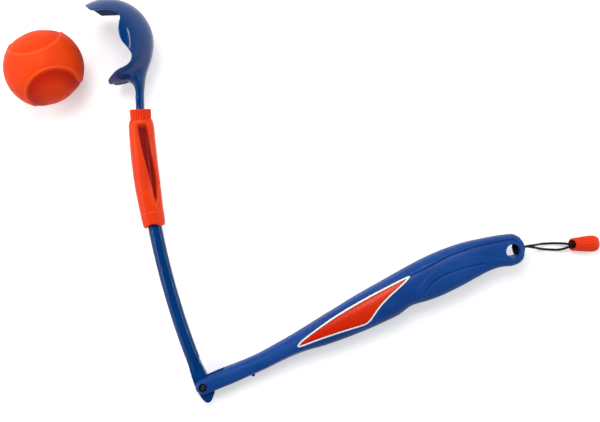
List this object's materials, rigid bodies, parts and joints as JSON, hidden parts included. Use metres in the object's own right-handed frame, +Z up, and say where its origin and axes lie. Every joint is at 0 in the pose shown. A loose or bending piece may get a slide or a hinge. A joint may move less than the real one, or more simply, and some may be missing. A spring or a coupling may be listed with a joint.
{
  "type": "dog tennis ball launcher",
  "caption": "Folding dog ball launcher: hollow moulded handle, hinged bent arm ending in a finger-edged cup, sliding lock sleeve, wrist lanyard and a loose ball beside the cup.",
  "frame": {"origin": "on the floor, under the middle of the launcher and ball's bounding box, without the lanyard", "axes": "+X along the floor towards the handle's hanging end, +Y along the floor towards the cup, +Z up from the floor"},
  "size_m": [0.4923, 0.3326, 0.0653],
  "materials": {
    "arm_plastic": "glossy deep blue",
    "handle_plastic": "satin blue",
    "sleeve_plastic": "satin orange-red",
    "toggle_plastic": "satin orange-red",
    "badge_field": "satin orange-red",
    "badge_border": "satin white",
    "ball_rubber": "matt stippled orange",
    "cord": "black woven cord",
    "steel": "dark plated steel"
  },
  "bodies": {
    "handle": {"handle_shell_front": "handle_plastic", "handle_shell_back": "handle_plastic", "badge_border": "badge_border", "badge_panel": "badge_field", "pivot_screw": "steel", "pivot_barrel_nut": "steel", "pivot_washer_front": "steel", "pivot_washer_back": "steel", "lanyard_knot": "cord", "lanyard_strand_upper": "cord", "lanyard_strand_lower": "cord", "lanyard_toggle": "toggle_plastic", "toggle_knot": "cord"},
    "arm": {"throwing_arm": "arm_plastic"},
    "collar": {"lock_sleeve": "sleeve_plastic", "sleeve_ring": "sleeve_plastic"},
    "ball": {"ball": "ball_rubber"}
  },
  "joints": [
    {"name": "arm_fold", "type": "hinge", "parent": "handle", "child": "arm", "pos_m": [-0.05215, -0.15197, 0.00962], "axis": [-0.0102, -0.082, 0.9966], "range_deg": [-56, 91]},
    {"name": "collar_slide", "type": "hinge", "parent": "arm", "child": "collar", "pos_m": [0.56187, 0.10194, 0.03679], "axis": [-0.0102, -0.082, 0.9966], "range_deg": [-0.8, 7.4]},
    {"name": "ball_seat", "type": "slide", "parent": "arm", "child": "ball", "axis": [0.9359, 0.3522, -0.0038], "range_m": [0, 0.057]}
  ]
}
